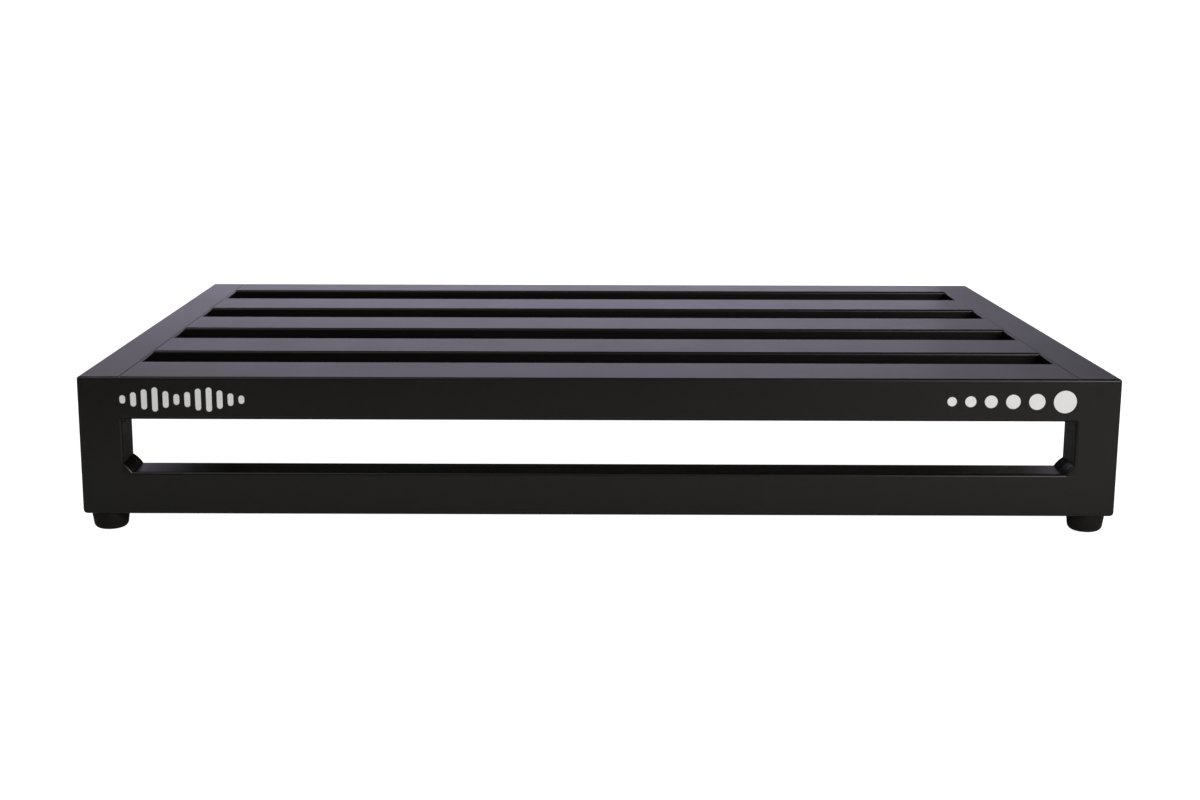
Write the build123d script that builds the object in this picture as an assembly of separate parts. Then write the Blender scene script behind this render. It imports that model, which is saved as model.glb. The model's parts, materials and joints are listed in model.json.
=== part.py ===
from build123d import *
import os
from math import atan2, cos, degrees, sin

# A pedalboard: a welded ladder deck of aluminium box tube on a riser, standing on four rubber feet.
#
# Every piece is first made square, in the deck's frame: X runs across the board, Y runs from the tall
# rear edge towards the player, and Z is square to the deck, with 0 at the deck's top face. The board is
# then tilted by the angle at which its feet meet the floor, and moved so that Z = 0 is the floor and the
# origin is below the middle of its outer box. All sizes are in millimetres.

# Overall
board_width = 609.6         # outer face to outer face of the side rails
riser_height = 82.55        # deck top to the riser's underside, square to the deck

# Tube
stock = 25.4                # square tube of the side rails, posts and crossbar, and height of each rail
wall = 1.6
corner_radius = 1.6         # on the long outer edges of every tube
hoop_corner_radius = 3.5    # on the ground outer corners where the posts meet the crossbar
end_plate_thickness = 2.5

# Cross rails, from the tall side to the player's side, and the gaps that follow them
rail_width = 50.8
front_rail_width = 38.1
rear_gap = 38.1
middle_gap = 41.3
front_gap = 44.4

# Welds
seam_depth = 0.35           # how far a flush-ground weld lies below the tubes it joins
seam_root = 0.8             # share of the corner radius that a flush weld fills
underside_bead_radius = 2.2
underside_bead_rise = 0.6   # how far its centre line lies inside the joint
foot_weld_gap = 1.0         # from the end of the front rail's bead to the foot
window_lower_leg = 5.0
window_upper_leg = 2.2
window_weld_inset = 0.4     # from the riser's faces to a window weld's ends
post_weld_leg = 4.0

# Feet
foot_top_diameter = 22.5
foot_base_diameter = 19.5
foot_height = 11.0
foot_edge_radius = 3.0
foot_inset = 13.3           # from a side rail's outer face to the foot's axis
foot_press = 0.4            # how far the board's weight flattens the edge that meets the floor
foot_floor = 4.0            # rubber between the washer and the tube

# Fasteners: M5
screw_diameter = 5.0
screw_length = 16.0
screw_head_diameter = 9.5
screw_head_height = 3.0
screw_recess_diameter = 4.2     # round envelope of the cross recess
screw_recess_depth = 1.8
screw_clearance = 0.25          # round the shank, in the washer and the foot
washer_diameter = 11.0
washer_thickness = 1.0
washer_clearance = 0.4          # round the washer, in the foot's recess
rivet_nut_diameter = 7.0
rivet_nut_length = 12.0
rivet_nut_flange_diameter = 10.0
rivet_nut_flange = 0.8
rivet_nut_bulge_diameter = 9.4
rivet_nut_bulge = 3.0
thread_clearance = 0.05         # round the shank, in the rivet nut
flange_clearance = 0.2          # round the rivet nut's flange, in the foot

# Printed marks on the rear rail's face
ink_thickness = 0.1
mark_middle = -13.4         # height of both marks' middle line
left_mark_start = 24.8      # from the left side rail's outer face
left_mark_end = 97.8
bar_heights = (5.0, 8.5, 12.0, 14.4, 10.0, 6.5, 9.0, 13.0, 14.4, 11.0, 7.5, 5.0)
bar_width = 3.4
right_mark_end = 26.1       # from the right side rail's outer face to the last disc's edge
disc_diameters = (5.5, 6.5, 7.5, 8.5, 9.5, 13.4)
disc_gap = 4.9

# Worked out from the sizes above
rails = (
    ("rear_rail", rail_width, rear_gap),
    ("second_rail", rail_width, middle_gap),
    ("middle_rail", rail_width, middle_gap),
    ("fourth_rail", rail_width, front_gap),
    ("front_rail", front_rail_width, 0.0),
)
deck_depth = sum(width + gap for _, width, gap in rails)
outer_x = board_width / 2
inner_x = outer_x - stock
sides = (("left", -1), ("right", 1))
rear_foot_y = stock / 2
front_foot_y = deck_depth - stock / 2
tilt = atan2(riser_height - stock, front_foot_y - rear_foot_y)
reach = stock               # how far cutting shapes run past what they cut


def rail_spans():
    """Name, start and end along Y of each cross rail."""
    start = 0.0
    for name, width, gap in rails:
        yield name, start, start + width
        start += width + gap


def box_between(low, high):
    """Box from its lowest corner to its highest corner."""
    size = [b - a for a, b in zip(low, high)]
    middle = [(a + b) / 2 for a, b in zip(low, high)]
    return Pos(*middle) * Box(*size)


def bar_x(x0, x1, y0, y1, z0, z1):
    """Solid bar along X with rounded long edges."""
    profile = Plane.YZ * Pos((y0 + y1) / 2, (z0 + z1) / 2) * RectangleRounded(y1 - y0, z1 - z0, corner_radius)
    return Pos((x0 + x1) / 2, 0, 0) * extrude(profile, (x1 - x0) / 2, both=True)


def bar_y(x0, x1, y0, y1, z0, z1):
    """Solid bar along Y with rounded long edges."""
    profile = Plane.XZ * Pos((x0 + x1) / 2, (z0 + z1) / 2) * RectangleRounded(x1 - x0, z1 - z0, corner_radius)
    return Pos(0, (y0 + y1) / 2, 0) * extrude(profile, (y1 - y0) / 2, both=True)


def bar_z(x0, x1, y0, y1, z0, z1):
    """Solid bar along Z with rounded long edges."""
    profile = Pos((x0 + x1) / 2, (y0 + y1) / 2) * RectangleRounded(x1 - x0, y1 - y0, corner_radius)
    return Pos(0, 0, (z0 + z1) / 2) * extrude(profile, (z1 - z0) / 2, both=True)


def prism_y(points, y0, y1):
    """Prism along Y over an outline of (x, z) points."""
    outline = Plane.XZ * make_face(Polyline(*points, close=True))
    return Pos(0, (y0 + y1) / 2, 0) * extrude(outline, (y1 - y0) / 2, both=True)


def prism_x(points, x0, x1):
    """Prism along X over an outline of (y, z) points."""
    outline = Plane.YZ * make_face(Polyline(*points, close=True))
    return Pos((x0 + x1) / 2, 0, 0) * extrude(outline, (x1 - x0) / 2, both=True)


def nut_hole(x, y, underside):
    """Cutter for a rivet nut's hole through the tube wall above a foot."""
    return Pos(x, y, underside + wall / 2) * Cylinder(rivet_nut_diameter / 2, 2 * wall)


def cross_rail(y0, y1):
    """Deck tube that butts between the side rails."""
    body = bar_x(-inner_x, inner_x, y0, y1, -stock, 0)
    bore = box_between((-inner_x - reach, y0 + wall, wall - stock), (inner_x + reach, y1 - wall, -wall))
    return body - bore


def side_x(side):
    """Lowest and highest X of the square tube on one side."""
    return sorted((side * inner_x, side * outer_x))


def side_rail_outline(side, y0, y1):
    """Side rail as if it were solid."""
    low, high = side_x(side)
    return bar_y(low, high, y0, y1, -stock, 0)


def side_rail(side):
    """Square tube along one side of the deck, between its two end plates."""
    y0, y1 = end_plate_thickness, deck_depth - end_plate_thickness
    low, high = side_x(side)
    bore = box_between((low + wall, y0 - reach, wall - stock), (high - wall, y1 + reach, -wall))
    hole = nut_hole(side * (outer_x - foot_inset), front_foot_y, -stock)
    return side_rail_outline(side, y0, y1) - bore - hole


def end_plate(side, front):
    """Plate welded over a side rail's end, with its free edges ground round."""
    low, high = side_x(side)
    y0 = deck_depth - end_plate_thickness if front else 0.0
    plate = box_between((low, y0, -stock), (high, y0 + end_plate_thickness, 0))
    long_edges = plate.edges().filter_by(Axis.Y)
    face = plate.faces().sort_by(Axis.Y)[-1 if front else 0]
    across = face.edges().filter_by(Axis.X).sort_by(Axis.Z)
    upright = face.edges().filter_by(Axis.Z).sort_by(Axis.X)[-1 if side > 0 else 0]
    ground = [across[-1], upright]
    if front:
        ground.append(across[0])
    return fillet([*long_edges, *ground], corner_radius)


def corner_points(side):
    """Ends of the mitre's cutting line and the two corners beside it, past the tubes by reach."""
    out, inn = side * (outer_x + reach), side * (inner_x - reach)
    low, high = -riser_height - reach, -riser_height + stock + reach
    return (out, low), (inn, high), (inn, low), (out, high)


def hoop_corner(side):
    """Cutter that rounds the outer lower corner where a post meets the crossbar."""
    r = hoop_corner_radius
    square = box_between(
        (min(side * outer_x, side * (outer_x - r)), -reach, -riser_height),
        (max(side * outer_x, side * (outer_x - r)), stock + reach, -riser_height + r),
    )
    rod = Rot(X=90) * Cylinder(r, 2 * (stock + 2 * reach))
    return square - Pos(side * (outer_x - r), 0, -riser_height + r) * rod


def post_outline(side):
    """Riser post as if it were solid, mitred at its foot."""
    mitre_out, mitre_in, below, _ = corner_points(side)
    low, high = side_x(side)
    body = bar_z(low, high, 0, stock, -riser_height, -stock)
    return body - prism_y((mitre_out, mitre_in, below), -reach, stock + reach) - hoop_corner(side)


def riser_post(side):
    """Square tube under a side rail's tall end."""
    low, high = side_x(side)
    bore = box_between(
        (low + wall, wall, -riser_height - reach), (high - wall, stock - wall, reach - stock)
    )
    return post_outline(side) - bore


def crossbar_outline():
    """Riser crossbar as if it were solid, mitred at both ends."""
    body = bar_x(-outer_x, outer_x, 0, stock, -riser_height, -riser_height + stock)
    for _, side in sides:
        mitre_out, mitre_in, _, above = corner_points(side)
        body = body - prism_y((mitre_out, mitre_in, above), -reach, stock + reach) - hoop_corner(side)
    return body


def riser_crossbar():
    """Square tube that joins the posts under the window."""
    bore = box_between(
        (-outer_x - reach, wall, wall - riser_height),
        (outer_x + reach, stock - wall, -riser_height + stock - wall),
    )
    body = crossbar_outline() - bore
    for _, side in sides:
        body = body - nut_hole(side * (outer_x - foot_inset), rear_foot_y, -riser_height)
    return body


def deck_top_welds(side):
    """Flush-ground welds in the grooves between the cross rails' ends and a side rail."""
    seam = side * inner_x
    beads = []
    for _, y0, y1 in rail_spans():
        groove = box_between(
            (min(seam, seam + side * corner_radius), y0, -seam_root * corner_radius),
            (max(seam, seam + side * corner_radius), y1, -seam_depth),
        )
        rail_shape = bar_x(-outer_x, outer_x, y0, y1, -stock, 0)
        beads.append((groove & rail_shape) - side_rail_outline(side, 0, deck_depth))
    return beads


def deck_underside_welds(side):
    """Round beads left as laid along the joints' undersides, clear of the post and the front foot."""
    seam = side * inner_x
    foot_edge = front_foot_y - foot_top_diameter / 2 - foot_weld_gap
    beads = []
    for _, y0, y1 in rail_spans():
        start = max(y0 + corner_radius, stock + post_weld_leg)
        end = min(y1 - corner_radius, foot_edge)
        rod = Rot(X=90) * Cylinder(underside_bead_radius, end - start)
        bead = Pos(seam, (start + end) / 2, underside_bead_rise - stock) * rod
        rail_shape = bar_x(-inner_x, inner_x, y0, y1, -stock, 0)
        beads.append(bead - rail_shape - side_rail_outline(side, 0, deck_depth))
    return beads


def window_welds(side):
    """Fillet welds in the window's upper and lower corner on one side."""
    into = side * (inner_x + corner_radius)
    face = side * inner_x
    y0, y1 = window_weld_inset, stock - window_weld_inset
    lower, upper = window_lower_leg, window_upper_leg
    floor_z = -riser_height + stock
    lower_outline = (
        (into, floor_z - corner_radius),
        (face - side * lower, floor_z - corner_radius),
        (face - side * lower, floor_z),
        (face, floor_z + lower),
        (into, floor_z + lower),
    )
    upper_outline = (
        (into, -stock),
        (face - side * upper, -stock),
        (face, -stock - upper),
        (into, -stock - upper),
    )
    lower_weld = prism_y(lower_outline, y0, y1) - post_outline(side) - crossbar_outline()
    upper_weld = prism_y(upper_outline, corner_radius, y1) - post_outline(side)
    return [lower_weld, upper_weld]


def post_top_welds(side):
    """Flush weld outside and fillet weld behind, where a post meets its side rail."""
    low, high = side_x(side)
    groove = box_between(
        (min(side * outer_x, side * (outer_x - corner_radius)), 0, -stock),
        (max(side * outer_x, side * (outer_x - corner_radius)), stock, -stock + seam_root * corner_radius),
    )
    flush = (groove & bar_z(low, high, 0, stock, -riser_height, 0)) - side_rail_outline(side, 0, deck_depth)
    corner = ((stock, -stock), (stock + post_weld_leg, -stock), (stock, -stock - post_weld_leg))
    behind = prism_x(corner, low + corner_radius, high - corner_radius)
    return [flush, behind]


def foot():
    """Tapered rubber foot, with its top face at Z = 0."""
    body = Pos(0, 0, -foot_height / 2) * Cone(foot_base_diameter / 2, foot_top_diameter / 2, foot_height)
    rim = body.edges().filter_by(GeomType.CIRCLE).sort_by(Axis.Z)[0]
    body = fillet(rim, foot_edge_radius)
    recess_radius = washer_diameter / 2 + washer_clearance
    seat_radius = rivet_nut_flange_diameter / 2 + flange_clearance
    recess_depth = foot_height - foot_floor
    body -= Pos(0, 0, -foot_height) * cylinder_up(recess_radius, recess_depth)
    body -= Pos(0, 0, -foot_height) * cylinder_up(screw_diameter / 2 + screw_clearance, foot_height)
    return body - Pos(0, 0, -rivet_nut_flange) * cylinder_up(seat_radius, rivet_nut_flange)


def cylinder_up(radius, height):
    """Cylinder that stands on Z = 0."""
    return Cylinder(radius, height, align=(Align.CENTER, Align.CENTER, Align.MIN))


def foot_washer():
    """Flat washer on the floor of the foot's recess."""
    ring = cylinder_up(washer_diameter / 2, washer_thickness)
    ring -= cylinder_up(screw_diameter / 2 + screw_clearance, washer_thickness)
    return Pos(0, 0, -foot_floor - washer_thickness) * ring


def foot_screw():
    """Pan-head screw, up through the washer and the foot into the rivet nut."""
    head = cylinder_up(screw_head_diameter / 2, screw_head_height)
    rim = head.edges().filter_by(GeomType.CIRCLE).sort_by(Axis.Z)[0]
    head = fillet(rim, screw_head_height / 2)
    head -= cylinder_up(screw_recess_diameter / 2, screw_recess_depth)
    shank = Pos(0, 0, screw_head_height) * cylinder_up(screw_diameter / 2, screw_length)
    return Pos(0, 0, -foot_floor - washer_thickness - screw_head_height) * (head + shank)


def rivet_nut():
    """Rivet nut: flange under the tube wall, swaged bulge above it, threaded barrel inside the tube."""
    nut = Pos(0, 0, -rivet_nut_flange) * cylinder_up(rivet_nut_flange_diameter / 2, rivet_nut_flange)
    nut += cylinder_up(rivet_nut_diameter / 2, rivet_nut_length)
    nut += Pos(0, 0, wall) * cylinder_up(rivet_nut_bulge_diameter / 2, rivet_nut_bulge)
    bore = cylinder_up(screw_diameter / 2 + thread_clearance, rivet_nut_flange + rivet_nut_length)
    return nut - Pos(0, 0, -rivet_nut_flange) * bore


def left_mark():
    """Row of upright ink bars with round ends, like a level meter."""
    first = -outer_x + left_mark_start + bar_width / 2
    last = -outer_x + left_mark_end - bar_width / 2
    pitch = (last - first) / (len(bar_heights) - 1)
    bars = []
    for i, height in enumerate(bar_heights):
        outline = Plane.XZ * Pos(first + i * pitch, mark_middle) * SlotOverall(height, bar_width, rotation=90)
        bars.append(extrude(outline, ink_thickness))
    return bars


def right_mark():
    """Row of ink discs that grow towards the board's side."""
    edge = outer_x - right_mark_end
    discs = []
    for diameter in reversed(disc_diameters):
        outline = Plane.XZ * Pos(edge - diameter / 2, mark_middle) * Circle(diameter / 2)
        discs.append(extrude(outline, ink_thickness))
        edge -= diameter + disc_gap
    return discs


def floor_level():
    """Height of the floor under the tilted board, with the feet's lowest edges pressed flat on it."""
    edge_y = rear_foot_y + foot_base_diameter / 2 - foot_edge_radius
    edge_z = -riser_height - foot_height + foot_edge_radius
    return -edge_y * sin(tilt) + edge_z * cos(tilt) - foot_edge_radius + foot_press


def deck_frame_pieces():
    """Every piece in the deck's frame: node name to a list of solids."""
    pieces = {name: [cross_rail(y0, y1)] for name, y0, y1 in rail_spans()}
    pieces["riser_crossbar"] = [riser_crossbar()]
    pieces["left_mark"] = left_mark()
    pieces["right_mark"] = right_mark()
    for name, side in sides:
        pieces[f"{name}_side_rail"] = [side_rail(side)]
        pieces[f"{name}_rear_end_plate"] = [end_plate(side, front=False)]
        pieces[f"{name}_front_end_plate"] = [end_plate(side, front=True)]
        pieces[f"{name}_riser_post"] = [riser_post(side)]
        pieces[f"{name}_deck_top_welds"] = deck_top_welds(side)
        pieces[f"{name}_deck_underside_welds"] = deck_underside_welds(side)
        pieces[f"{name}_window_welds"] = window_welds(side)
        pieces[f"{name}_post_top_welds"] = post_top_welds(side)
        for end, y, underside in (("rear", rear_foot_y, -riser_height), ("front", front_foot_y, -stock)):
            seat = Pos(side * (outer_x - foot_inset), y, underside)
            pieces[f"{end}_{name}_foot"] = [seat * foot()]
            pieces[f"{end}_{name}_foot_washer"] = [seat * foot_washer()]
            pieces[f"{end}_{name}_foot_screw"] = [seat * foot_screw()]
            pieces[f"{end}_{name}_rivet_nut"] = [seat * rivet_nut()]
    return pieces


def stand_on_floor(pieces):
    """Tilt the pieces, put their origin on the floor and cut the feet flat where they are pressed."""
    tilted = {name: [Rot(X=-degrees(tilt)) * solid for solid in solids] for name, solids in pieces.items()}
    box = Compound(children=[solid for solids in tilted.values() for solid in solids]).bounding_box()
    shift = Pos(0, -(box.min.Y + box.max.Y) / 2, -floor_level())
    placed = {name: [shift * solid for solid in solids] for name, solids in tilted.items()}
    below = Pos(0, 0, -reach / 2) * Box(2 * board_width, 4 * deck_depth, reach)
    for name in placed:
        if name.endswith("_foot"):
            placed[name] = [solid - below for solid in placed[name]]
    return placed


def single_solids(shapes):
    """The plain solids inside a list of shapes."""
    return [solid for shape in shapes for solid in shape.solids()]


os.makedirs("parts", exist_ok=True)
for node, shapes in stand_on_floor(deck_frame_pieces()).items():
    found = single_solids(shapes)
    export_step(found[0] if len(found) == 1 else Compound(children=found), f"parts/{node}.step")
    print(node, len(found))
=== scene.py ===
import json
import math
import random

import bmesh
import bpy
from bpy.props import FloatProperty, FloatVectorProperty, IntProperty, PointerProperty
from mathutils import Matrix, Vector

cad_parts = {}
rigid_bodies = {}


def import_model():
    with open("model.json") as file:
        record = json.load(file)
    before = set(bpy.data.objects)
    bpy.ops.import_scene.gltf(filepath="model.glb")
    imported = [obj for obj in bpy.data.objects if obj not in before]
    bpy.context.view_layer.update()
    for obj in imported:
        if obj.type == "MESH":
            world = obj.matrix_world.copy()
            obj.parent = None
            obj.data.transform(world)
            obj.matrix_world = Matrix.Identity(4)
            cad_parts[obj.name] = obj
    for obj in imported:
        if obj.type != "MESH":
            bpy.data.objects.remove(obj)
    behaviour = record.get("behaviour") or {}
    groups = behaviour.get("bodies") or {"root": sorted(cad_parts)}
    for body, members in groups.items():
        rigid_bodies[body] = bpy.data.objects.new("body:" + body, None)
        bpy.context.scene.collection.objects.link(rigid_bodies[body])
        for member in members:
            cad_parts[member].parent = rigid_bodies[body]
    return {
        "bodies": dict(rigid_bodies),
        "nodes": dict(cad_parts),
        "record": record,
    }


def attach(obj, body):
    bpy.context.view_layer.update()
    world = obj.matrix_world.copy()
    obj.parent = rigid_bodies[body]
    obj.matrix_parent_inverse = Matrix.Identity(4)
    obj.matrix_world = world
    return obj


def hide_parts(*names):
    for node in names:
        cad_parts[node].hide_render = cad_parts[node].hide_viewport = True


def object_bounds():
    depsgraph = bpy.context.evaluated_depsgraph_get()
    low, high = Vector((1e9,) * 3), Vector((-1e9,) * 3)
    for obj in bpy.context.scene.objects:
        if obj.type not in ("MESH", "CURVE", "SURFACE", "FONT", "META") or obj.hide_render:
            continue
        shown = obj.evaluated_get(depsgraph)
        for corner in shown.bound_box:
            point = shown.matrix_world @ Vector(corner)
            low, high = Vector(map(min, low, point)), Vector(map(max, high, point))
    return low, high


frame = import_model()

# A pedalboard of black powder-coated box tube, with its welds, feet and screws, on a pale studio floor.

bl_info = {
    "name": "Pedalboard Finish",
    "version": (1, 0, 0),
    "blender": (4, 5, 0),
    "location": "View3D > Sidebar > Pedalboard",
    "description": "Coats, welds, feet, screws and studio for a box-tube pedalboard",
    "category": "Object",
}

MM = 0.001
CAD_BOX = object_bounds()
BODY = next(iter(frame["bodies"]))
MOUNTS = {mount["name"]: mount for mount in frame["record"]["mounts"]}
DECK_NORMAL = Vector(MOUNTS["rear_rail_top"]["axis"])
TILT = math.atan2(DECK_NORMAL.y, DECK_NORMAL.z)
TO_DECK = Matrix.Rotation(TILT, 4, "X")
TO_ROW = TO_DECK.inverted()
SIDES = (("left", -1), ("right", 1))
ENDS = ("rear", "front")
TUBE_RADIUS = 1.6 * MM        # rounding of the tubes' edges
SHARP_CUT = 0.001 * MM        # how near a cut a corner may lie and still be kept whole
GAP_BETWEEN_BEADS = 30 * MM   # a longer stretch without a corner parts one bead from the next
NEAR = 0.01 * MM              # two heights this close are the same
LEVEL = 0.9999                # a face is level when its normal's Z is past this
FACE_GAP = 0.05 * MM          # how far a ground weld lies behind the riser's face
UPPER_ROOT = 1.5 * MM         # how deep the window's upper welds reach between the tubes
ROUND_END = [(0, 0.72), (0.25 * MM, 0.88), (0.7 * MM, 1.0)]      # how a bead ends as it was laid
RAILS = ("rear_rail", "second_rail", "middle_rail", "fourth_rail", "front_rail")
WARM = (1.0, 0.97, 0.94)      # light of the boxes in front
COOL = (0.77, 0.71, 0.94)     # light of the panels behind


def linear(code):
    """Linear red, green and blue of an sRGB hex colour."""
    values = [int(code[i:i + 2], 16) / 255 for i in (1, 3, 5)]
    return [v / 12.92 if v <= 0.04045 else ((v + 0.055) / 1.055) ** 2.4 for v in values]


def deck_box(node):
    """Lowest and highest corner of a CAD node in the deck's frame, where the deck's top is level."""
    points = [TO_DECK @ vertex.co for vertex in frame["nodes"][node].data.vertices]
    low = Vector([min(p[i] for p in points) for i in range(3)])
    high = Vector([max(p[i] for p in points) for i in range(3)])
    return low, high


# ---------------------------------------------------------------- settings


class FinishSettings(bpy.types.PropertyGroup):
    """Colours and coats."""

    coat_colour: FloatVectorProperty(
        name="Coat colour", description="Pigment of the powder coat", subtype="COLOR",
        default=linear("#0e0c0b"), min=0, max=1)
    coat_roughness: FloatProperty(
        name="Coat roughness", description="Roughness of the satin powder coat", subtype="FACTOR",
        default=0.3, min=0, max=1)
    rubber_colour: FloatVectorProperty(
        name="Rubber colour", description="Colour of the moulded feet", subtype="COLOR",
        default=linear("#141312"), min=0, max=1)
    ink_colour: FloatVectorProperty(
        name="Ink colour", description="Colour of the printed marks", subtype="COLOR",
        default=linear("#f4f6f6"), min=0, max=1)


class WeldSettings(bpy.types.PropertyGroup):
    """Sizes of the weld beads."""

    ripple_pitch: FloatProperty(
        name="Ripple pitch", description="Distance between the ripples of a bead", unit="LENGTH",
        default=1.7 * MM, min=0.5 * MM, precision=5)
    ripple_height: FloatProperty(
        name="Ripple height", description="Swell of each ripple, as a share of the bead", subtype="FACTOR",
        default=0.075, min=0, max=0.5)
    window_lower_leg: FloatProperty(
        name="Window lower leg", description="Leg of the welds in the window's lower corners",
        unit="LENGTH", default=5.0 * MM, min=0, precision=5)
    window_upper_leg: FloatProperty(
        name="Window upper leg", description="Leg of the welds in the window's upper corners",
        unit="LENGTH", default=2.2 * MM, min=0, precision=5)
    underside_radius: FloatProperty(
        name="Underside radius", description="Radius of the beads under the deck", unit="LENGTH",
        default=2.2 * MM, min=0, precision=5)
    underside_rise: FloatProperty(
        name="Underside rise", description="How far those beads' middle line lies inside the joint",
        unit="LENGTH", default=0.6 * MM, min=0, precision=5)


class FootSettings(bpy.types.PropertyGroup):
    """Sizes of the moulded feet and their screws."""

    base_radius: FloatProperty(
        name="Base radius", description="Radius of the foot below, before its edge is rounded",
        unit="LENGTH", default=9.75 * MM, min=0, precision=5)
    edge_radius: FloatProperty(
        name="Edge radius", description="Rounding of the foot's lower edge", unit="LENGTH",
        default=3.0 * MM, min=0, precision=5)
    recess_radius: FloatProperty(
        name="Recess radius", description="Radius of the recess for washer and screw", unit="LENGTH",
        default=5.9 * MM, min=0, precision=5)
    floor_thickness: FloatProperty(
        name="Floor thickness", description="Rubber between the washer and the tube", unit="LENGTH",
        default=4.0 * MM, min=0, precision=5)
    bore_radius: FloatProperty(
        name="Bore radius", description="Radius of the hole for the screw", unit="LENGTH",
        default=2.75 * MM, min=0, precision=5)
    seat_radius: FloatProperty(
        name="Seat radius", description="Radius of the seat for the rivet nut's flange", unit="LENGTH",
        default=5.2 * MM, min=0, precision=5)
    seat_depth: FloatProperty(
        name="Seat depth", description="Depth of the seat for the rivet nut's flange", unit="LENGTH",
        default=0.8 * MM, min=0, precision=5)
    shank_radius: FloatProperty(
        name="Shank radius", description="Radius of the screws' shank", unit="LENGTH",
        default=2.5 * MM, min=0, precision=5)
    segments: IntProperty(
        name="Segments", description="Sides of the turned shapes", default=72, min=12)


class StageSettings(bpy.types.PropertyGroup):
    """Floor, lights and camera."""

    floor_colour: FloatVectorProperty(
        name="Floor colour", description="Paint of the studio floor", subtype="COLOR",
        default=linear("#dcdcdc"), min=0, max=1)
    top_power: FloatProperty(
        name="Top power", description="Large softbox overhead, to the left",
        unit="POWER", default=10.0, min=0)
    front_power: FloatProperty(
        name="Front power", description="Low softbox in front, to the right",
        unit="POWER", default=5.0, min=0)
    key_power: FloatProperty(
        name="Key power", description="High softbox in front, to the right",
        unit="POWER", default=13.0, min=0)
    strip_power: FloatProperty(
        name="Strip power", description="Low light on the floor behind",
        unit="POWER", default=9.0, min=0)
    low_power: FloatProperty(
        name="Low power", description="Narrow strip on the floor behind the board",
        unit="POWER", default=0.125, min=0)
    apron_power: FloatProperty(
        name="Apron power", description="Low light on the floor in front",
        unit="POWER", default=0.6, min=0)
    back_power: FloatProperty(
        name="Back power", description="Wide panel far behind the board",
        unit="POWER", default=4.0, min=0)
    room_light: FloatProperty(
        name="Room light", description="Even light from the room", default=0.1, min=0)
    lens: FloatProperty(
        name="Lens", description="Focal length on a 36 mm sensor", unit="CAMERA", default=52.25, min=10)


# ---------------------------------------------------------------- modelling by hand


def start_piece(name, add, **settings):
    """Add a primitive with nothing else selected, and put its place into its mesh."""
    bpy.ops.object.select_all(action="DESELECT")
    add(**settings)
    piece = bpy.context.object
    piece.name = piece.data.name = name
    bpy.ops.object.transform_apply(location=True, rotation=True, scale=True)
    return piece


def only(piece):
    """Make a piece the only selected and active object."""
    bpy.ops.object.select_all(action="DESELECT")
    piece.select_set(True)
    bpy.context.view_layer.objects.active = piece


def edit(piece):
    """Open a piece in edit mode with nothing selected."""
    only(piece)
    bpy.ops.object.mode_set(mode="EDIT")
    bpy.ops.mesh.select_all(action="DESELECT")


def close_edit():
    """Turn the faces outwards and leave edit mode."""
    bpy.ops.mesh.select_all(action="SELECT")
    bpy.ops.mesh.normals_make_consistent(inside=False)
    bpy.ops.object.mode_set(mode="OBJECT")


def pick_faces(test):
    """Select the faces whose middle and normal pass a test."""
    bpy.ops.mesh.select_mode(type="FACE")
    bpy.ops.mesh.select_all(action="DESELECT")
    shape = bmesh.from_edit_mesh(bpy.context.object.data)
    shape.normal_update()
    for face in shape.faces:
        face.select_set(test(face.calc_center_median(), face.normal))
    bmesh.update_edit_mesh(bpy.context.object.data)


def pick_edges(test):
    """Select the edges whose two ends pass a test."""
    bpy.ops.mesh.select_mode(type="EDGE")
    bpy.ops.mesh.select_all(action="DESELECT")
    shape = bmesh.from_edit_mesh(bpy.context.object.data)
    for edge in shape.edges:
        edge.select_set(all(test(vertex.co) for vertex in edge.verts))
    bmesh.update_edit_mesh(bpy.context.object.data)


def place(piece, matrix):
    """Move a piece by a matrix and keep its object at the origin."""
    only(piece)
    piece.matrix_world = matrix
    bpy.ops.object.transform_apply(location=True, rotation=True, scale=True)
    return piece


def copy_piece(piece, name):
    """Copy a piece with a mesh of its own."""
    only(piece)
    bpy.ops.object.duplicate(linked=False)
    twin = bpy.context.object
    twin.name = twin.data.name = name
    return twin


def join_pieces(pieces, name):
    """Join pieces into one object."""
    bpy.ops.object.select_all(action="DESELECT")
    for piece in pieces:
        piece.select_set(True)
    bpy.context.view_layer.objects.active = pieces[0]
    bpy.ops.object.join()
    pieces[0].name = pieces[0].data.name = name
    return pieces[0]


def remove_piece(piece):
    """Delete a piece that was only a pattern or a cutter."""
    only(piece)
    bpy.ops.object.delete()


def finish_piece(piece, material, nodes, smooth_angle=40):
    """Shade a finished piece, coat it, and let it stand for its CAD nodes."""
    only(piece)
    bpy.ops.object.shade_smooth_by_angle(angle=math.radians(smooth_angle))
    piece.data.materials.clear()
    piece.data.materials.append(material)
    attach(piece, BODY)
    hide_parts(*nodes)


# ---------------------------------------------------------------- materials


def add_node(tree, kind, settings=None, inputs=None, links=None):
    """Add a node to a tree, with its settings, input values and incoming links."""
    node = tree.nodes.new(kind)
    for name, value in (settings or {}).items():
        setattr(node, name, value)
    for name, value in (inputs or {}).items():
        node.inputs[name].default_value = value
    for name, source in (links or {}).items():
        tree.links.new(source, node.inputs[name])
    return node


def new_material(name, inputs):
    """Material with one Principled shader, its tree, shader and object coordinates."""
    material = bpy.data.materials.new(name)
    material.use_nodes = True
    tree = material.node_tree
    tree.nodes.clear()
    shader = add_node(tree, "ShaderNodeBsdfPrincipled", inputs=inputs)
    add_node(tree, "ShaderNodeOutputMaterial", links={"Surface": shader.outputs["BSDF"]})
    place_of = add_node(tree, "ShaderNodeTexCoord").outputs["Object"]
    return material, tree, shader, place_of


def per_metre(size_mm):
    """Texture scale that gives a pattern cells of this size."""
    return 1 / (size_mm * MM)


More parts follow.
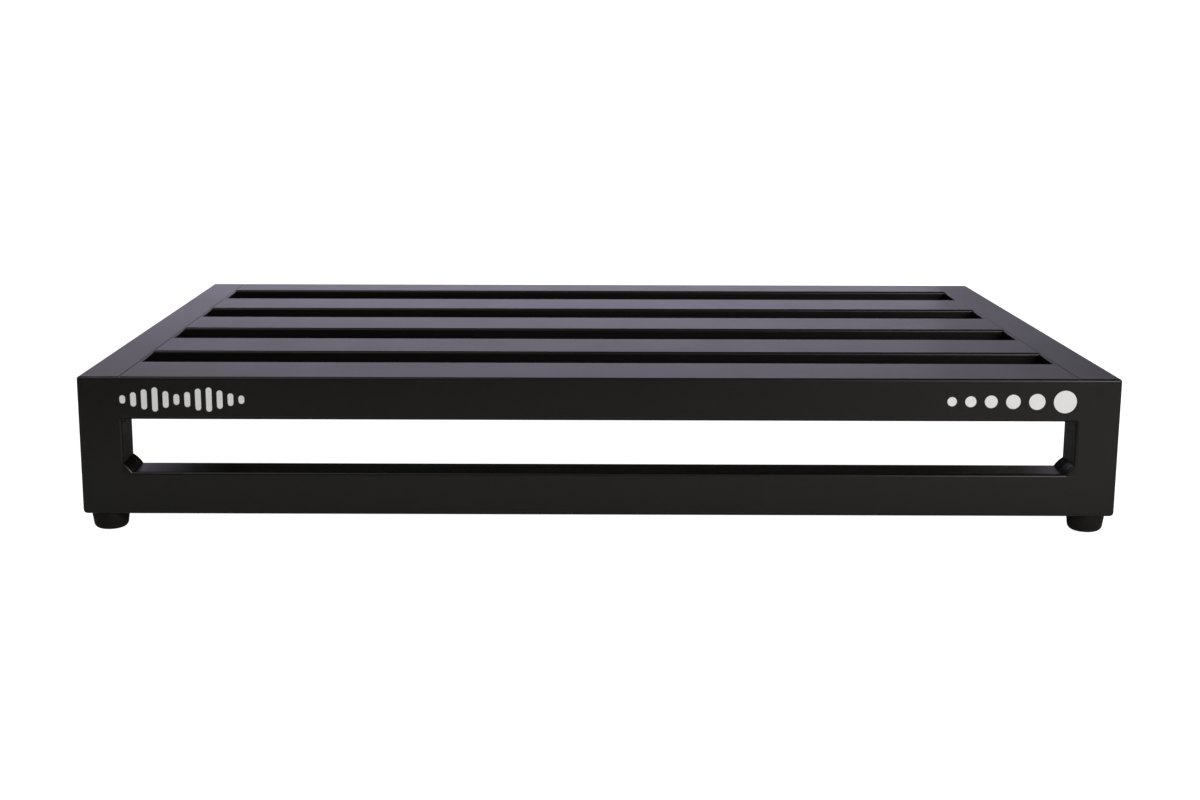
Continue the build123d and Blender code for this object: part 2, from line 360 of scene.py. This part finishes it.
def powder_coat(name, colour, roughness, grain_mm, grain_height_mm):
    """Satin black polyester powder coat, baked on aluminium.

    The powder flows out to a very fine orange peel, so the face stays black when seen square on, and turns
    to an even grey sheen where it is seen at a low angle.
    """
    material, tree, shader, place_of = new_material(name, {"IOR": 1.42, "Metallic": 0.0})
    # Orange peel of a cured powder coat is 0.5 to 2 mm wide.
    peel = add_node(
        tree, "ShaderNodeTexNoise", inputs={"Scale": per_metre(grain_mm), "Detail": 3.0, "Roughness": 0.55},
        links={"Vector": place_of})
    bump = add_node(
        tree, "ShaderNodeBump", inputs={"Strength": 1.0, "Distance": grain_height_mm * MM},
        links={"Height": peel.outputs["Fac"]})
    # The film is a little thicker in one place than in another, over some centimetres.
    film = add_node(
        tree, "ShaderNodeTexNoise", inputs={"Scale": per_metre(45), "Detail": 2.0},
        links={"Vector": place_of})
    sheen = add_node(
        tree, "ShaderNodeMapRange",
        inputs={"From Min": 0.3, "From Max": 0.7, "To Min": roughness - 0.006, "To Max": roughness + 0.01},
        links={"Value": film.outputs["Fac"]})
    pigment = add_node(
        tree, "ShaderNodeMix", settings={"data_type": "RGBA"},
        links={"Factor": film.outputs["Fac"]})
    pigment.inputs["A"].default_value = [*[0.85 * c for c in colour], 1]
    pigment.inputs["B"].default_value = [*[1.15 * c for c in colour], 1]
    tree.links.new(pigment.outputs["Result"], shader.inputs["Base Color"])
    tree.links.new(sheen.outputs["Result"], shader.inputs["Roughness"])
    tree.links.new(bump.outputs["Normal"], shader.inputs["Normal"])
    return material


def moulded_rubber(colour):
    """Black moulded EPDM rubber: dull, with a faint bloom and the fine grain of its mould."""
    material, tree, shader, place_of = new_material("moulded black EPDM rubber", {"IOR": 1.26})
    grain = add_node(
        tree, "ShaderNodeTexNoise", inputs={"Scale": per_metre(0.5), "Detail": 4.0},
        links={"Vector": place_of})
    bump = add_node(
        tree, "ShaderNodeBump", inputs={"Strength": 0.6, "Distance": 0.04 * MM},
        links={"Height": grain.outputs["Fac"]})
    bloom = add_node(
        tree, "ShaderNodeTexNoise", inputs={"Scale": per_metre(7), "Detail": 3.0},
        links={"Vector": place_of})
    dull = add_node(
        tree, "ShaderNodeMapRange",
        inputs={"From Min": 0.3, "From Max": 0.7, "To Min": 0.48, "To Max": 0.62},
        links={"Value": bloom.outputs["Fac"]})
    tint = add_node(
        tree, "ShaderNodeMix", settings={"data_type": "RGBA"}, links={"Factor": bloom.outputs["Fac"]})
    tint.inputs["A"].default_value = [*[0.8 * c for c in colour], 1]
    tint.inputs["B"].default_value = [*[1.35 * c for c in colour], 1]
    tree.links.new(tint.outputs["Result"], shader.inputs["Base Color"])
    tree.links.new(dull.outputs["Result"], shader.inputs["Roughness"])
    tree.links.new(bump.outputs["Normal"], shader.inputs["Normal"])
    return material


def plated_steel(name, bright, dark):
    """Zinc-plated steel: bright grey metal with small crystals of slightly different shade."""
    material, tree, shader, place_of = new_material(name, {"Metallic": 1.0})
    crystals = add_node(
        tree, "ShaderNodeTexVoronoi", inputs={"Scale": per_metre(0.9)}, links={"Vector": place_of})
    shade = add_node(
        tree, "ShaderNodeMix", settings={"data_type": "RGBA"}, links={"Factor": crystals.outputs["Color"]})
    shade.inputs["A"].default_value = [*linear(dark), 1]
    shade.inputs["B"].default_value = [*linear(bright), 1]
    scuffs = add_node(
        tree, "ShaderNodeTexNoise", inputs={"Scale": per_metre(2.5), "Detail": 5.0},
        links={"Vector": place_of})
    rough = add_node(
        tree, "ShaderNodeMapRange",
        inputs={"From Min": 0.3, "From Max": 0.7, "To Min": 0.24, "To Max": 0.42},
        links={"Value": scuffs.outputs["Fac"]})
    bump = add_node(
        tree, "ShaderNodeBump", inputs={"Strength": 0.3, "Distance": 0.02 * MM},
        links={"Height": scuffs.outputs["Fac"]})
    tree.links.new(shade.outputs["Result"], shader.inputs["Base Color"])
    tree.links.new(rough.outputs["Result"], shader.inputs["Roughness"])
    tree.links.new(bump.outputs["Normal"], shader.inputs["Normal"])
    return material


def pad_ink(colour):
    """White pad-printing ink: flat and opaque, a touch thinner in tiny spots."""
    material, tree, shader, place_of = new_material("white pad-printing ink", {"IOR": 1.5})
    spots = add_node(
        tree, "ShaderNodeTexNoise", inputs={"Scale": per_metre(0.7), "Detail": 4.0},
        links={"Vector": place_of})
    cover = add_node(
        tree, "ShaderNodeMix", settings={"data_type": "RGBA"}, links={"Factor": spots.outputs["Fac"]})
    cover.inputs["A"].default_value = [*[0.93 * c for c in colour], 1]
    cover.inputs["B"].default_value = [*colour, 1]
    rough = add_node(
        tree, "ShaderNodeMapRange",
        inputs={"From Min": 0.3, "From Max": 0.7, "To Min": 0.42, "To Max": 0.55},
        links={"Value": spots.outputs["Fac"]})
    tree.links.new(cover.outputs["Result"], shader.inputs["Base Color"])
    tree.links.new(rough.outputs["Result"], shader.inputs["Roughness"])
    return material


def coat_of(kind):
    """The powder coat on tubes or on welds, made once."""
    finish = bpy.context.scene.board_finish
    names = {
        "tube": "satin black powder coat on aluminium tube",
        "weld": "satin black powder coat on weld bead",
    }
    found = bpy.data.materials.get(names[kind])
    if found:
        return found
    colour = list(finish.coat_colour)
    if kind == "tube":
        return powder_coat(names[kind], colour, finish.coat_roughness, 0.9, 0.018)
    return powder_coat(names[kind], colour, finish.coat_roughness, 1.4, 0.04)


def set_finish(node, material):
    """Give a CAD node one material."""
    slots = frame["nodes"][node].data.materials
    slots.clear()
    slots.append(material)


# ---------------------------------------------------------------- welds


def lay_bead(name, length, disc, planes, root, ends, seed):
    """Rippled bead along Y from 0 to its length, cut from a disc and drawn out ripple by ripple.

    The disc is (radius, x, z), the planes cut it to the bead's profile, and every ripple swells about the
    root. Both ends are lists of (distance from the end, size), from the end inwards.
    """
    weld = bpy.context.scene.board_weld
    radius, x, z = disc
    bead = start_piece(
        name, bpy.ops.mesh.primitive_circle_add, vertices=96, radius=radius, fill_type="NGON",
        location=(x, 0, z), rotation=(math.pi / 2, 0, 0))
    edit(bead)
    for point, normal in planes:
        bpy.ops.mesh.select_all(action="SELECT")
        bpy.ops.mesh.bisect(plane_co=point, plane_no=normal, clear_outer=True, threshold=SHARP_CUT)
    bpy.ops.mesh.select_all(action="SELECT")
    chance = random.Random(seed)
    opening, closing = ends
    rippled = length - opening[-1][0] - closing[-1][0]
    ripples = max(2, round(rippled / weld.ripple_pitch))
    steps = list(opening)
    for ripple in range(ripples):
        swell = 1 + weld.ripple_height * chance.uniform(0.6, 1.4)
        for share, size in ((0.2, swell), (0.65, 0.5 + 0.5 * swell), (1.0, 1.0)):
            steps.append((opening[-1][0] + (ripple + share) * rippled / ripples, size))
    steps += [(length - distance, size) for distance, size in reversed(closing[:-1])]
    depth, size = steps[0]
    bpy.ops.transform.resize(value=(size, 1, size), center_override=(root[0], 0, root[1]))
    for next_depth, next_size in steps[1:]:
        bpy.ops.mesh.extrude_region_move(TRANSFORM_OT_translate={"value": (0, next_depth - depth, 0)})
        change = next_size / size
        bpy.ops.transform.resize(value=(change, 1, change), center_override=(root[0], next_depth, root[1]))
        depth, size = next_depth, next_size
    close_edit()
    return bead


def fillet_bead(name, length, leg, root, ends, seed):
    """Nearly flat fillet bead: fills the corner between a wall at +X and a floor below."""
    inset = 1.5 * leg
    radius = math.hypot(leg + inset, inset)
    planes = (((root, 0, 0), (1, 0, 0)), ((0, 0, -root), (0, 0, -1)))
    return lay_bead(name, length, (radius, inset, -inset), planes, (root, -root), ends, seed)


def crown_bead(name, length, radius, rise, seed):
    """Round bead that stands up from a flat face, with its middle line a little below the face."""
    planes = (((0, 0, -radius / 4), (0, 0, -1)),)
    return lay_bead(name, length, (radius, 0, -rise), planes, (0, 0), (ROUND_END, ROUND_END), seed)


def ground_end(leg, root):
    """Sizes with which a fillet bead ends flush with a face, rounded like the tubes' own edges."""
    whole = leg + 2 * root
    steps = []
    for number in range(7):
        angle = math.radians(15 * number)
        steps.append((root * (1 - math.cos(angle)), 1 - root * math.sqrt(2) * (1 - math.sin(angle)) / whole))
    return steps


def window_bead(name, length, leg, near_first, seed):
    """Fillet bead whose near end is ground flush with the riser's face."""
    root = TUBE_RADIUS
    ends = (ground_end(leg, root), ROUND_END)
    return fillet_bead(name, length, leg, root, ends if near_first else ends[::-1], seed)


def turned(axis):
    """Half turn about an axis."""
    return Matrix.Rotation(math.pi, 4, axis)


class BOARD_OT_lay_window_welds(bpy.types.Operator):
    """Lay the fillet welds in the corners of the riser's window"""

    bl_idname = "board.lay_window_welds"
    bl_label = "Lay window welds"

    def execute(self, context):
        weld = context.scene.board_weld
        for name, side in SIDES:
            node = f"{name}_window_welds"
            _, high = deck_box(node)
            bar_low, bar_high = deck_box("riser_crossbar")
            rail_low, _ = deck_box("rear_rail")
            post_low, post_high = deck_box(f"{name}_riser_post")
            face = post_high.x if side < 0 else post_low.x
            near, far = bar_low.y + FACE_GAP, high.y
            lower = window_bead(f"{node}_lower", far - near, weld.window_lower_leg, side > 0, seed=3 + side)
            turn = Matrix.Identity(4) if side > 0 else turned("Z")
            place(lower, Matrix.Translation((face, near if side > 0 else far, bar_high.z)) @ turn)
            near = bar_low.y + TUBE_RADIUS
            upper = fillet_bead(f"{node}_upper", far - near, weld.window_upper_leg, UPPER_ROOT,
                                (ROUND_END, ROUND_END), seed=7 + side)
            turn = turned("X") if side > 0 else turned("Y")
            place(upper, Matrix.Translation((face, far if side > 0 else near, rail_low.z)) @ turn)
            piece = place(join_pieces([lower, upper], f"{node}_rippled"), TO_ROW)
            finish_piece(piece, coat_of("weld"), [node])
        return {"FINISHED"}


def bead_spans(node):
    """Start and end along the deck of each loose part of a CAD node."""
    mesh = frame["nodes"][node].data
    ends = sorted({round((TO_DECK @ vertex.co).y, 5) for vertex in mesh.vertices})
    spans = [[ends[0], ends[0]]]
    for end in ends[1:]:
        if end - spans[-1][1] > GAP_BETWEEN_BEADS and spans[-1][1] > spans[-1][0]:
            spans.append([end, end])
        spans[-1][1] = end
    return spans


class BOARD_OT_lay_deck_welds(bpy.types.Operator):
    """Lay the round beads under the joints of the cross rails"""

    bl_idname = "board.lay_deck_welds"
    bl_label = "Lay deck welds"

    def execute(self, context):
        weld = context.scene.board_weld
        for name, side in SIDES:
            node = f"{name}_deck_underside_welds"
            rail_low, rail_high = deck_box("rear_rail")
            seam = rail_low.x if side < 0 else rail_high.x
            beads = []
            for number, (start, end) in enumerate(bead_spans(node)):
                bead = crown_bead(f"{node}_{number}", end - start, weld.underside_radius,
                                  weld.underside_rise, seed=20 + number + side)
                beads.append(place(bead, Matrix.Translation((seam, start, rail_low.z)) @ turned("Y")))
            piece = place(join_pieces(beads, f"{node}_rippled"), TO_ROW)
            finish_piece(piece, coat_of("weld"), [node])
        return {"FINISHED"}


# ---------------------------------------------------------------- feet and screws


def foot_seat(end, name):
    """Matrix from a foot's own frame, with its top face at Z = 0, to the row frame."""
    _, high = deck_box(f"{end}_{name}_foot")
    washer_low, washer_high = deck_box(f"{end}_{name}_foot_washer")
    middle = (washer_low + washer_high) / 2
    return TO_ROW @ Matrix.Translation((middle.x, middle.y, high.z))


class BOARD_OT_mould_feet(bpy.types.Operator):
    """Mould the tapered rubber feet"""

    bl_idname = "board.mould_feet"
    bl_label = "Mould feet"

    def execute(self, context):
        settings = context.scene.board_foot
        low, high = deck_box("rear_left_foot")
        pattern = mould_foot(settings, (high.x - low.x) / 2, high.z - low.z)
        rubber = moulded_rubber(list(context.scene.board_finish.rubber_colour))
        for end in ENDS:
            for name, _ in SIDES:
                node = f"{end}_{name}_foot"
                foot = place(copy_piece(pattern, f"{node}_moulded"), foot_seat(end, name))
                edit(foot)
                bpy.ops.mesh.select_all(action="SELECT")
                # The foot stands flat on the ground.
                bpy.ops.mesh.bisect(
                    plane_co=(0, 0, 0), plane_no=(0, 0, 1), clear_inner=True, use_fill=True,
                    threshold=SHARP_CUT)
                close_edit()
                finish_piece(foot, rubber, [node])
        remove_piece(pattern)
        return {"FINISHED"}


def mould_foot(settings, top_radius, height):
    """One foot with its top face at Z = 0: tapered, round below, with a recess, a bore and a nut seat."""
    foot = start_piece(
        "foot_pattern", bpy.ops.mesh.primitive_cylinder_add, vertices=settings.segments, radius=top_radius,
        depth=height, location=(0, 0, -height / 2))
    edit(foot)
    pick_faces(lambda middle, normal: normal.z < -LEVEL)
    taper = settings.base_radius / top_radius
    bpy.ops.transform.resize(value=(taper, taper, 1), center_override=(0, 0, -height))
    pick_edges(lambda co: co.z < -height + NEAR)
    bpy.ops.mesh.bevel(offset=settings.edge_radius, segments=6, affect="EDGES")
    pick_edges(lambda co: co.z > -NEAR)
    bpy.ops.mesh.bevel(offset=0.4 * MM, segments=2, affect="EDGES")
    # Recess for the washer and the screw's head.
    pick_faces(lambda middle, normal: normal.z < -LEVEL)
    flat_radius = max(vertex.co.xy.length for vertex in selected_vertices())
    bpy.ops.mesh.inset(thickness=flat_radius - settings.recess_radius)
    recess = height - settings.floor_thickness
    bpy.ops.mesh.extrude_region_move(TRANSFORM_OT_translate={"value": (0, 0, recess)})
    bpy.ops.mesh.inset(thickness=settings.recess_radius - settings.bore_radius)
    bpy.ops.mesh.delete(type="ONLY_FACE")
    # Seat for the rivet nut's flange.
    pick_faces(lambda middle, normal: normal.z > LEVEL)
    flat_radius = max(vertex.co.xy.length for vertex in selected_vertices())
    bpy.ops.mesh.inset(thickness=flat_radius - settings.seat_radius)
    bpy.ops.mesh.extrude_region_move(TRANSFORM_OT_translate={"value": (0, 0, -settings.seat_depth)})
    bpy.ops.mesh.inset(thickness=settings.seat_radius - settings.bore_radius)
    bpy.ops.mesh.delete(type="ONLY_FACE")
    pick_edges(lambda co: co.xy.length < settings.bore_radius + 10 * NEAR)
    bpy.ops.mesh.bridge_edge_loops()
    pick_edges(lambda co: co.z < -height + NEAR and co.xy.length < settings.recess_radius + 10 * NEAR)
    bpy.ops.mesh.bevel(offset=0.4 * MM, segments=3, affect="EDGES")
    close_edit()
    return foot


def selected_vertices():
    """Vertices that are selected in the mesh being edited."""
    return [vertex for vertex in bmesh.from_edit_mesh(bpy.context.object.data).verts if vertex.select]


class BOARD_OT_fit_screws(bpy.types.Operator):
    """Fit the pan-head screws and their washers under the feet"""

    bl_idname = "board.fit_screws"
    bl_label = "Fit screws and washers"

    def execute(self, context):
        settings = context.scene.board_foot
        low, high = deck_box("rear_left_foot_screw")
        washer_low, washer_high = deck_box("rear_left_foot_washer")
        head_height = washer_low.z - low.z
        head_radius = (high.x - low.x) / 2
        under_head = washer_low.z - washer_high.z - settings.floor_thickness
        pattern = turn_screw(settings, head_radius, head_height, high.z - washer_low.z, under_head)
        zinc = plated_steel("zinc-plated steel", "#c3c6ca", "#a9adb2")
        for number, end in enumerate(ENDS):
            for name, side in SIDES:
                node = f"{end}_{name}_foot_screw"
                screw = copy_piece(pattern, f"{node}_cross_head")
                spin = Matrix.Rotation(math.radians(25 + 67 * number + 20 * side), 4, "Z")
                place(screw, foot_seat(end, name) @ spin)
                finish_piece(screw, zinc, [node], smooth_angle=30)
                set_finish(f"{end}_{name}_foot_washer", zinc)
        remove_piece(pattern)
        return {"FINISHED"}


def turn_screw(settings, head_radius, head_height, shank_length, under_head):
    """Pan-head screw with a cross recess, its head hanging below the height under_head."""
    head = start_piece(
        "screw_pattern", bpy.ops.mesh.primitive_cylinder_add, vertices=settings.segments,
        radius=head_radius, depth=head_height, location=(0, 0, under_head - head_height / 2))
    edit(head)
    pick_edges(lambda co: co.z < under_head - head_height + NEAR)
    bpy.ops.mesh.bevel(offset=head_height * 0.5, segments=7, affect="EDGES", profile=0.55)
    point = 0.6 * MM        # length of the shank's tapered tip
    pick_faces(lambda middle, normal: normal.z > LEVEL)
    bpy.ops.mesh.inset(thickness=head_radius - settings.shank_radius)
    bpy.ops.mesh.extrude_region_move(TRANSFORM_OT_translate={"value": (0, 0, shank_length - point)})
    bpy.ops.mesh.extrude_region_move(TRANSFORM_OT_translate={"value": (0, 0, point)})
    bpy.ops.transform.resize(value=(0.8, 0.8, 1))
    close_edit()
    face_z = under_head - head_height
    arms = []
    for turn in (0, math.pi / 2):
        arm = start_piece(
            "recess_arm", bpy.ops.mesh.primitive_cube_add, size=1, scale=(5.0 * MM, 1.05 * MM, 3.6 * MM),
            location=(0, 0, face_z), rotation=(0, 0, turn))
        edit(arm)
        pick_faces(lambda middle, normal: normal.z > 0.9)
        bpy.ops.transform.resize(value=(0.42, 0.42, 1), center_override=(0, 0, face_z))
        close_edit()
        arms.append(arm)
    for arm in arms:
        only(head)
        cut = head.modifiers.new("cross recess", "BOOLEAN")
        cut.operation = "DIFFERENCE"
        cut.object = arm
        bpy.ops.object.modifier_apply(modifier=cut.name)
        remove_piece(arm)
    return head


# ---------------------------------------------------------------- coats and marks


class BOARD_OT_coat_frame(bpy.types.Operator):
    """Powder-coat the tubes, end plates and flush welds"""

    bl_idname = "board.coat_frame"
    bl_label = "Coat frame"

    def execute(self, context):
        tubes = [*RAILS, "riser_crossbar"]
        for name, _ in SIDES:
            tubes += [f"{name}_{piece}" for piece in (
                "side_rail", "riser_post", "rear_end_plate", "front_end_plate")]
        for node in tubes:
            set_finish(node, coat_of("tube"))
        for name, _ in SIDES:
            set_finish(f"{name}_deck_top_welds", coat_of("weld"))
            set_finish(f"{name}_post_top_welds", coat_of("weld"))
        return {"FINISHED"}


class BOARD_OT_print_marks(bpy.types.Operator):
    """Print the plain bars and discs"""

    bl_idname = "board.print_marks"
    bl_label = "Print marks"

    def execute(self, context):
        ink = pad_ink(list(context.scene.board_finish.ink_colour))
        for name, _ in SIDES:
            set_finish(f"{name}_mark", ink)
        return {"FINISHED"}


class BOARD_OT_plate_nuts(bpy.types.Operator):
    """Plate the rivet nuts"""

    bl_idname = "board.plate_nuts"
    bl_label = "Plate nuts"

    def execute(self, context):
        passivated = plated_steel("yellow-passivated steel", "#cdbd86", "#a99760")
        for end in ENDS:
            for name, _ in SIDES:
                set_finish(f"{end}_{name}_rivet_nut", passivated)
        return {"FINISHED"}


# ---------------------------------------------------------------- stage


def area_light(name, place_at, aim, size, power, colour):
    """Rectangular soft light that shines at a point and is not seen by the camera."""
    data = bpy.data.lights.new(name, "AREA")
    data.shape = "RECTANGLE"
    data.size, data.size_y = size
    data.energy = power
    data.color = colour
    light = bpy.data.objects.new(name, data)
    bpy.context.scene.collection.objects.link(light)
    light.location = place_at
    light.rotation_euler = (Vector(aim) - Vector(place_at)).to_track_quat("-Z", "Y").to_euler()
    light.visible_camera = False
    return light


def studio_floor(colour):
    """Pale matt floor paint: seen as plain white, but it throws only a soft light up onto the board."""
    material, tree, shader, place_of = new_material(
        "pale matt floor paint", {"Roughness": 0.9, "IOR": 1.45})
    shader.inputs["Specular IOR Level"].default_value = 0.1
    shader.inputs["Emission Color"].default_value = (1, 1, 1, 1)
    cloud = add_node(
        tree, "ShaderNodeTexNoise", inputs={"Scale": per_metre(900), "Detail": 1.0},
        links={"Vector": place_of})
    tone = add_node(
        tree, "ShaderNodeMix", settings={"data_type": "RGBA"}, links={"Factor": cloud.outputs["Fac"]})
    tone.inputs["A"].default_value = [*[0.96 * c for c in colour], 1]
    tone.inputs["B"].default_value = [*colour, 1]
    tree.links.new(tone.outputs["Result"], shader.inputs["Base Color"])
    seen = add_node(tree, "ShaderNodeLightPath").outputs["Is Camera Ray"]
    tree.links.new(seen, shader.inputs["Emission Strength"])
    return material


class BOARD_OT_set_stage(bpy.types.Operator):
    """Set the floor, the lights and the camera"""

    bl_idname = "board.set_stage"
    bl_label = "Set stage"

    def execute(self, context):
        settings = context.scene.board_stage
        floor = start_piece("studio_floor", bpy.ops.mesh.primitive_circle_add, vertices=128, radius=9.0,
                            fill_type="NGON", location=(0, 0, 0))
        floor.data.materials.append(studio_floor(list(settings.floor_colour)))
        area_light("top_softbox", (-0.9, -0.6, 2.2), (0, 0, 0.03), (1.6, 1.2),
                   settings.top_power, (1, 1, 1))
        area_light("front_softbox", (1.0, -1.7, 0.65), (0.1, -0.2, 0.05), (0.8, 0.6),
                   settings.front_power, WARM)
        area_light("key_softbox", (1.0, -1.3, 1.05), (0.1, -0.2, 0.05), (0.7, 0.5),
                   settings.key_power, (1.0, 0.97, 0.95))
        strip = area_light("floor_strip", (-0.3, 1.7, 0.6), (-0.3, 1.7, 0), (2.4, 1.0),
                           settings.strip_power, COOL)
        strip.data.spread = math.radians(100)
        area_light("low_strip", (-0.09, 0.62, 0.022), (-0.09, 0, 0.022), (0.92, 0.04),
                   settings.low_power, COOL)
        apron = area_light("apron_light", (0.0, -0.5, 0.15), (0.0, -0.5, 0), (1.4, 0.3),
                           settings.apron_power, WARM)
        apron.data.spread = math.radians(60)
        back = area_light("back_panel", (-0.08, 3.6, 0.3), (0, 0, 0.08), (3.45, 0.6),
                          settings.back_power, COOL)
        back.data.shape = "ELLIPSE"
        world = bpy.data.worlds.new("studio room")
        world.use_nodes = True
        world.node_tree.nodes["Background"].inputs["Color"].default_value = (1.0, 1.0, 1.0, 1)
        world.node_tree.nodes["Background"].inputs["Strength"].default_value = settings.room_light
        context.scene.world = world
        context.scene.view_settings.view_transform = "Standard"
        set_camera(settings)
        return {"FINISHED"}


def set_camera(settings):
    """Camera a little to the left and above the tall side, looking down the sloping deck."""
    data = bpy.data.cameras.new("camera")
    data.lens = settings.lens
    data.sensor_width = 36
    data.shift_x = 0.0344
    data.shift_y = 0.0005
    data.clip_end = 50
    camera = bpy.data.objects.new("camera", data)
    bpy.context.scene.collection.objects.link(camera)
    low, _ = CAD_BOX
    camera.location = (-0.0192, low.y - 0.945, 0.4297)
    camera.rotation_euler = [math.radians(angle) for angle in (69.983, -0.0735, 0.2749)]
    bpy.context.scene.camera = camera


# ---------------------------------------------------------------- add-on


class BOARD_PT_sidebar(bpy.types.Panel):
    """Steps and settings of the pedalboard"""

    bl_idname = "BOARD_PT_sidebar"
    bl_label = "Pedalboard"
    bl_space_type = "VIEW_3D"
    bl_region_type = "UI"
    bl_category = "Pedalboard"

    def draw(self, context):
        layout = self.layout
        for step in STEPS:
            layout.operator(step.bl_idname)
        for group in SETTINGS:
            settings = getattr(context.scene, group)
            box = layout.box()
            for name in settings.__annotations__:
                box.prop(settings, name)


SETTINGS = {
    "board_finish": FinishSettings,
    "board_weld": WeldSettings,
    "board_foot": FootSettings,
    "board_stage": StageSettings,
}
STEPS = (
    BOARD_OT_set_stage,
    BOARD_OT_coat_frame,
    BOARD_OT_lay_window_welds,
    BOARD_OT_lay_deck_welds,
    BOARD_OT_mould_feet,
    BOARD_OT_fit_screws,
    BOARD_OT_print_marks,
    BOARD_OT_plate_nuts,
)


def register():
    for group in SETTINGS.values():
        bpy.utils.register_class(group)
    for step in (*STEPS, BOARD_PT_sidebar):
        bpy.utils.register_class(step)
    for name, group in SETTINGS.items():
        setattr(bpy.types.Scene, name, PointerProperty(type=group))


def unregister():
    for name in SETTINGS:
        delattr(bpy.types.Scene, name)
    for step in (BOARD_PT_sidebar, *STEPS):
        bpy.utils.unregister_class(step)
    for group in SETTINGS.values():
        bpy.utils.unregister_class(group)


def main():
    """Make every piece in order."""
    register()
    bpy.ops.board.set_stage()
    bpy.ops.board.coat_frame()
    bpy.ops.board.lay_window_welds()
    bpy.ops.board.lay_deck_welds()
    bpy.ops.board.mould_feet()
    bpy.ops.board.fit_screws()
    bpy.ops.board.print_marks()
    bpy.ops.board.plate_nuts()


if __name__ == "__main__":
    main()
